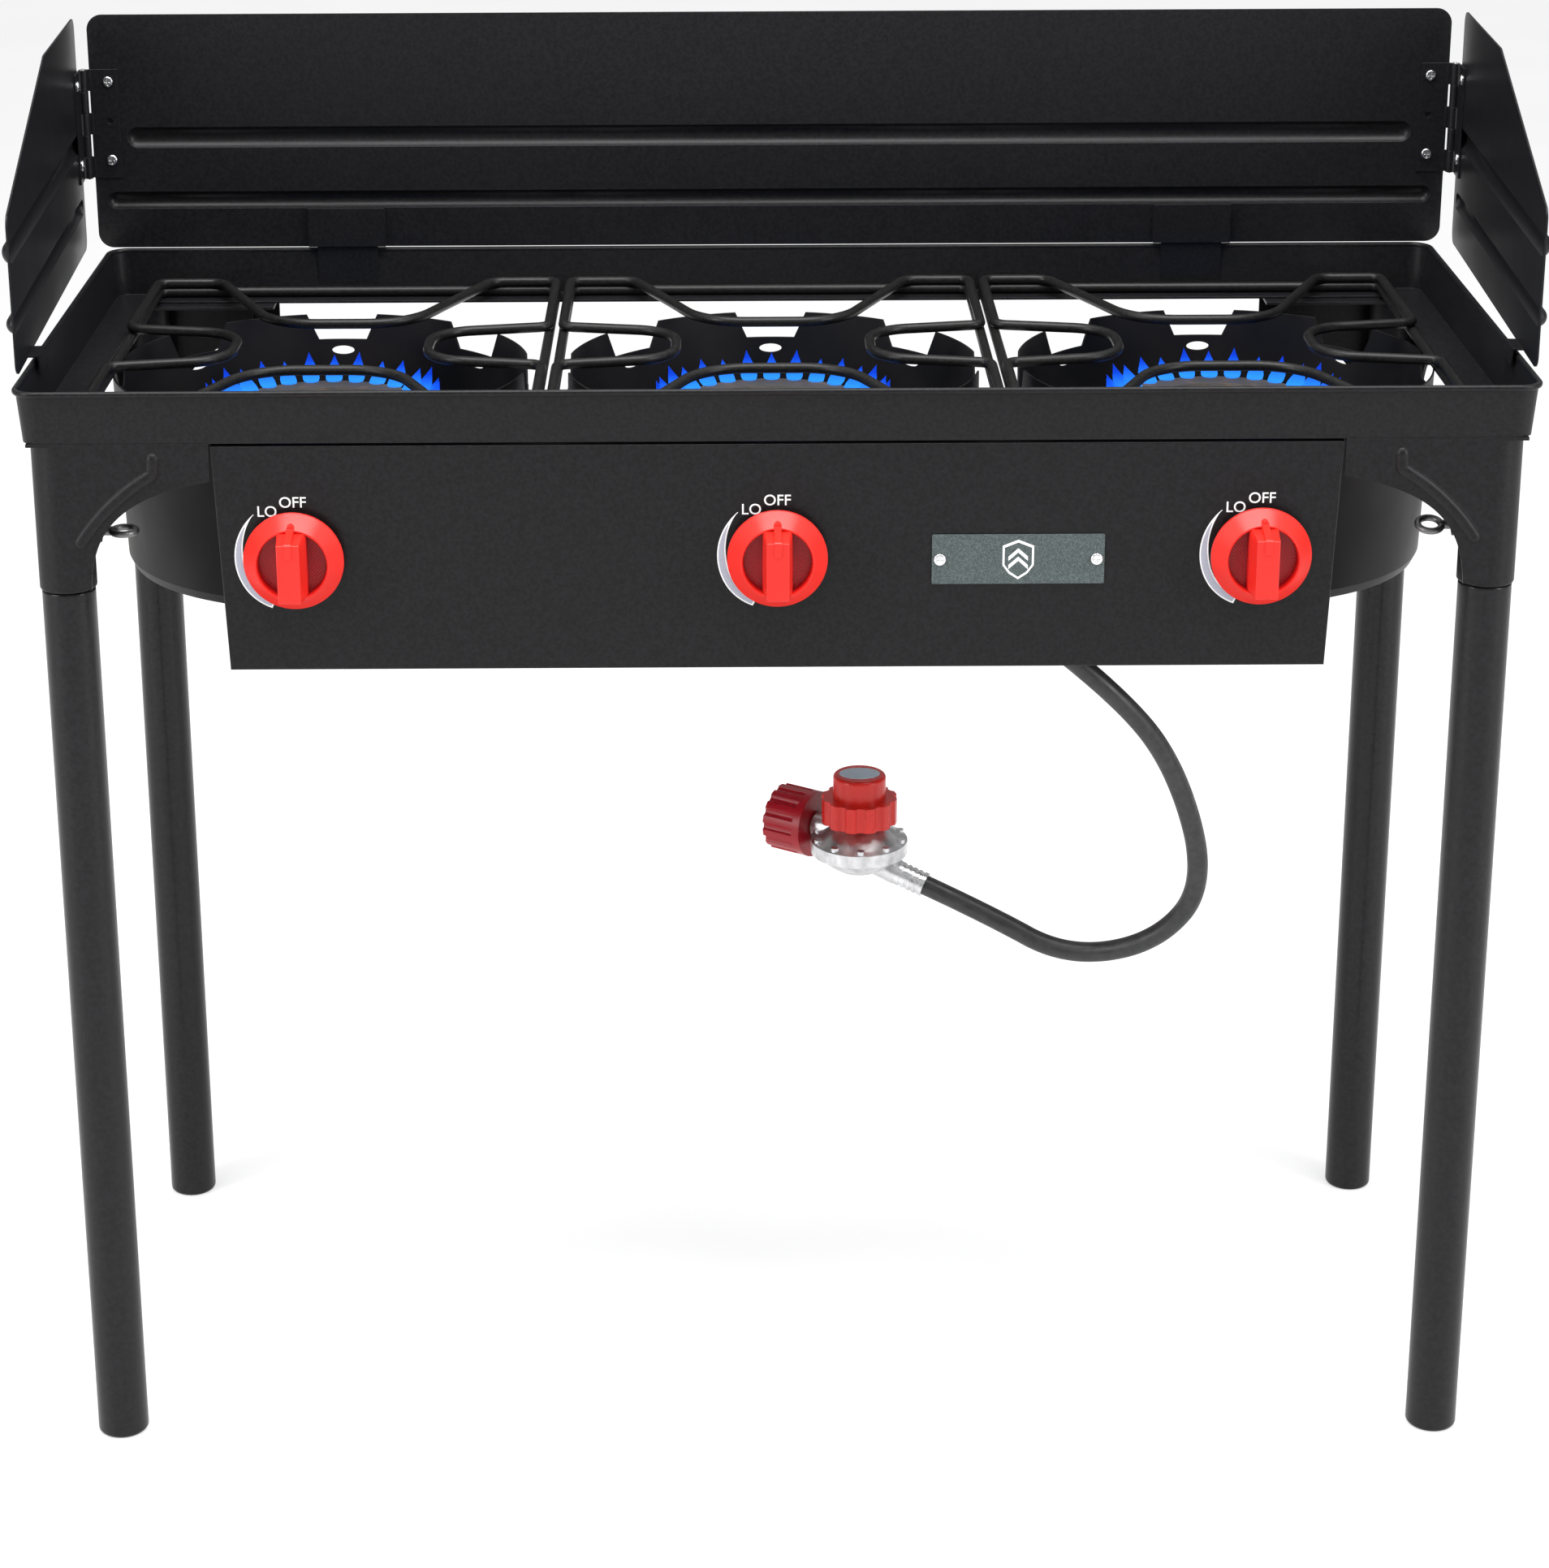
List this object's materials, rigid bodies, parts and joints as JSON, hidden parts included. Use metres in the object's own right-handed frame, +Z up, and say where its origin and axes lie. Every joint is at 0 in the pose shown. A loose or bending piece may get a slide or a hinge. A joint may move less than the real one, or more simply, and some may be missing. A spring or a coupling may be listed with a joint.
{
  "type": "propane burner stand",
  "caption": "Free-standing outdoor gas stove on tubular legs, with ring burners in deep wind cups under wire grates, a folding windscreen and a hose with a regulator.",
  "frame": {"origin": "on the floor, under the middle of the overall box of the stove without its hose", "axes": "+Z up, +X to the right as the user faces the knobs, -Y towards the user"},
  "size_m": [1.0014, 0.4338, 0.925],
  "materials": {
    "black_steel": "semi-gloss black powder coat with fine texture",
    "grate_wire": "satin black enamel on round wire",
    "cast_iron": "sand-cast, matt",
    "brass": "turned, slightly tarnished",
    "zinc_steel": "zinc plated, satin",
    "red_plastic": "moulded, satin",
    "nut_plastic": "moulded, dark red, satin",
    "die_cast": "die-cast, satin grey",
    "label": "printed plate, satin, dark slate",
    "hose_rubber": "smooth, satin black"
  },
  "bodies": {
    "stove_frame": {"tray_frame": "black_steel", "control_panel": "black_steel", "rear_rail": "black_steel", "cup_arms": "black_steel", "support_bolts": "zinc_steel", "label_plate": "label", "label_screws": "zinc_steel", "gas_manifold": "zinc_steel", "manifold_plugs": "zinc_steel", "valve_bodies": "brass", "gas_nozzles": "brass", "burner_bases": "cast_iron", "burner_caps": "cast_iron", "inlet_fitting": "brass", "hose_ferrules": "zinc_steel", "gas_hose": "hose_rubber", "regulator_body": "die_cast", "coupling_nipple": "brass", "corner_bracket_front_left": "black_steel", "corner_bracket_front_right": "black_steel", "corner_bracket_rear_left": "black_steel", "corner_bracket_rear_right": "black_steel", "wind_cup_left": "black_steel", "wind_cup_centre": "black_steel", "wind_cup_right": "black_steel"},
    "leg_front_left": {"leg_front_left": "black_steel"},
    "eye_screw_front_left": {"eye_screw_front_left": "brass"},
    "leg_front_right": {"leg_front_right": "black_steel"},
    "eye_screw_front_right": {"eye_screw_front_right": "brass"},
    "leg_rear_left": {"leg_rear_left": "black_steel"},
    "eye_screw_rear_left": {"eye_screw_rear_left": "brass"},
    "leg_rear_right": {"leg_rear_right": "black_steel"},
    "eye_screw_rear_right": {"eye_screw_rear_right": "brass"},
    "push_collar_left": {"push_collar_left": "zinc_steel"},
    "knob_left": {"valve_stem_left": "zinc_steel", "control_knob_left": "red_plastic"},
    "air_shutter_left": {"air_shutter_left": "zinc_steel"},
    "grate_left": {"grate_left": "grate_wire"},
    "push_collar_centre": {"push_collar_centre": "zinc_steel"},
    "knob_centre": {"valve_stem_centre": "zinc_steel", "control_knob_centre": "red_plastic"},
    "air_shutter_centre": {"air_shutter_centre": "zinc_steel"},
    "grate_centre": {"grate_centre": "grate_wire"},
    "push_collar_right": {"push_collar_right": "zinc_steel"},
    "knob_right": {"valve_stem_right": "zinc_steel", "control_knob_right": "red_plastic"},
    "air_shutter_right": {"air_shutter_right": "zinc_steel"},
    "grate_right": {"grate_right": "grate_wire"},
    "windscreen": {"windscreen_back": "black_steel", "hinge_leaves_back": "black_steel", "hinge_pins": "zinc_steel", "hinge_screws_back": "zinc_steel"},
    "windscreen_wing_left": {"windscreen_wing_left": "black_steel", "hinge_leaf_wing_left": "black_steel", "hinge_screws_wing_left": "zinc_steel"},
    "windscreen_wing_right": {"windscreen_wing_right": "black_steel", "hinge_leaf_wing_right": "black_steel", "hinge_screws_wing_right": "zinc_steel"},
    "regulator_knob": {"regulator_knob": "red_plastic"},
    "coupling_nut": {"coupling_nut": "nut_plastic"}
  },
  "joints": [
    {"name": "leg_front_left_extend", "type": "slide", "parent": "stove_frame", "child": "leg_front_left", "axis": [0, 0, -1], "range_m": [0, 0.06]},
    {"name": "eye_screw_front_left_turn", "type": "hinge", "parent": "stove_frame", "child": "eye_screw_front_left", "pos_m": [-0.43, -0.16175, 0.656], "axis": [1, 0, 0], "continuous": true},
    {"name": "leg_front_right_extend", "type": "slide", "parent": "stove_frame", "child": "leg_front_right", "axis": [0, 0, -1], "range_m": [0, 0.06]},
    {"name": "eye_screw_front_right_turn", "type": "hinge", "parent": "stove_frame", "child": "eye_screw_front_right", "pos_m": [0.43, -0.16175, 0.656], "axis": [1, 0, 0], "continuous": true},
    {"name": "leg_rear_left_extend", "type": "slide", "parent": "stove_frame", "child": "leg_rear_left", "axis": [0, 0, -1], "range_m": [0, 0.06]},
    {"name": "eye_screw_rear_left_turn", "type": "hinge", "parent": "stove_frame", "child": "eye_screw_rear_left", "pos_m": [-0.43, 0.19225, 0.656], "axis": [1, 0, 0], "continuous": true},
    {"name": "leg_rear_right_extend", "type": "slide", "parent": "stove_frame", "child": "leg_rear_right", "axis": [0, 0, -1], "range_m": [0, 0.06]},
    {"name": "eye_screw_rear_right_turn", "type": "hinge", "parent": "stove_frame", "child": "eye_screw_rear_right", "pos_m": [0.43, 0.19225, 0.656], "axis": [1, 0, 0], "continuous": true},
    {"name": "knob_left_push", "type": "slide", "parent": "stove_frame", "child": "push_collar_left", "axis": [0, 1, 0], "range_m": [0, 0.003], "stiffness_N_per_m": 1500, "springref_m": -0.002},
    {"name": "knob_left_turn", "type": "hinge", "parent": "push_collar_left", "child": "knob_left", "pos_m": [-0.3075, -0.18475, 0.643], "axis": [0, -1, 0], "range_deg": [0, 150]},
    {"name": "air_shutter_left_turn", "type": "hinge", "parent": "stove_frame", "child": "air_shutter_left", "pos_m": [-0.3075, -0.12975, 0.643], "axis": [0, -1, 0], "range_deg": [0, 45]},
    {"name": "grate_left_lift", "type": "slide", "parent": "stove_frame", "child": "grate_left", "axis": [0, 0, 1], "range_m": [0, 0.05]},
    {"name": "knob_centre_push", "type": "slide", "parent": "stove_frame", "child": "push_collar_centre", "axis": [0, 1, 0], "range_m": [0, 0.003], "stiffness_N_per_m": 1500, "springref_m": -0.002},
    {"name": "knob_centre_turn", "type": "hinge", "parent": "push_collar_centre", "child": "knob_centre", "pos_m": [0, -0.18475, 0.643], "axis": [0, -1, 0], "range_deg": [0, 150]},
    {"name": "air_shutter_centre_turn", "type": "hinge", "parent": "stove_frame", "child": "air_shutter_centre", "pos_m": [0, -0.12975, 0.643], "axis": [0, -1, 0], "range_deg": [0, 45]},
    {"name": "grate_centre_lift", "type": "slide", "parent": "stove_frame", "child": "grate_centre", "axis": [0, 0, 1], "range_m": [0, 0.05]},
    {"name": "knob_right_push", "type": "slide", "parent": "stove_frame", "child": "push_collar_right", "axis": [0, 1, 0], "range_m": [0, 0.003], "stiffness_N_per_m": 1500, "springref_m": -0.002},
    {"name": "knob_right_turn", "type": "hinge", "parent": "push_collar_right", "child": "knob_right", "pos_m": [0.3075, -0.18475, 0.643], "axis": [0, -1, 0], "range_deg": [0, 150]},
    {"name": "air_shutter_right_turn", "type": "hinge", "parent": "stove_frame", "child": "air_shutter_right", "pos_m": [0.3075, -0.12975, 0.643], "axis": [0, -1, 0], "range_deg": [0, 45]},
    {"name": "grate_right_lift", "type": "slide", "parent": "stove_frame", "child": "grate_right", "axis": [0, 0, 1], "range_m": [0, 0.05]},
    {"name": "windscreen_lift", "type": "slide", "parent": "stove_frame", "child": "windscreen", "axis": [0, 0, 1], "range_m": [0, 0.06]},
    {"name": "windscreen_wing_left_fold", "type": "hinge", "parent": "windscreen", "child": "windscreen_wing_left", "pos_m": [-0.4925, 0.20785, 0.846], "axis": [0, 0, 1], "range_deg": [0, 87]},
    {"name": "windscreen_wing_right_fold", "type": "hinge", "parent": "windscreen", "child": "windscreen_wing_right", "pos_m": [0.4925, 0.20785, 0.846], "axis": [0, 0, -1], "range_deg": [0, 87]},
    {"name": "regulator_knob_turn", "type": "hinge", "parent": "stove_frame", "child": "regulator_knob", "pos_m": [0.06, -0.01275, 0.4], "axis": [0, 0, 1], "continuous": true},
    {"name": "coupling_nut_turn", "type": "hinge", "parent": "stove_frame", "child": "coupling_nut", "pos_m": [0.01772, 0.01577, 0.382], "axis": [0.829, -0.5592, 0], "continuous": true}
  ]
}
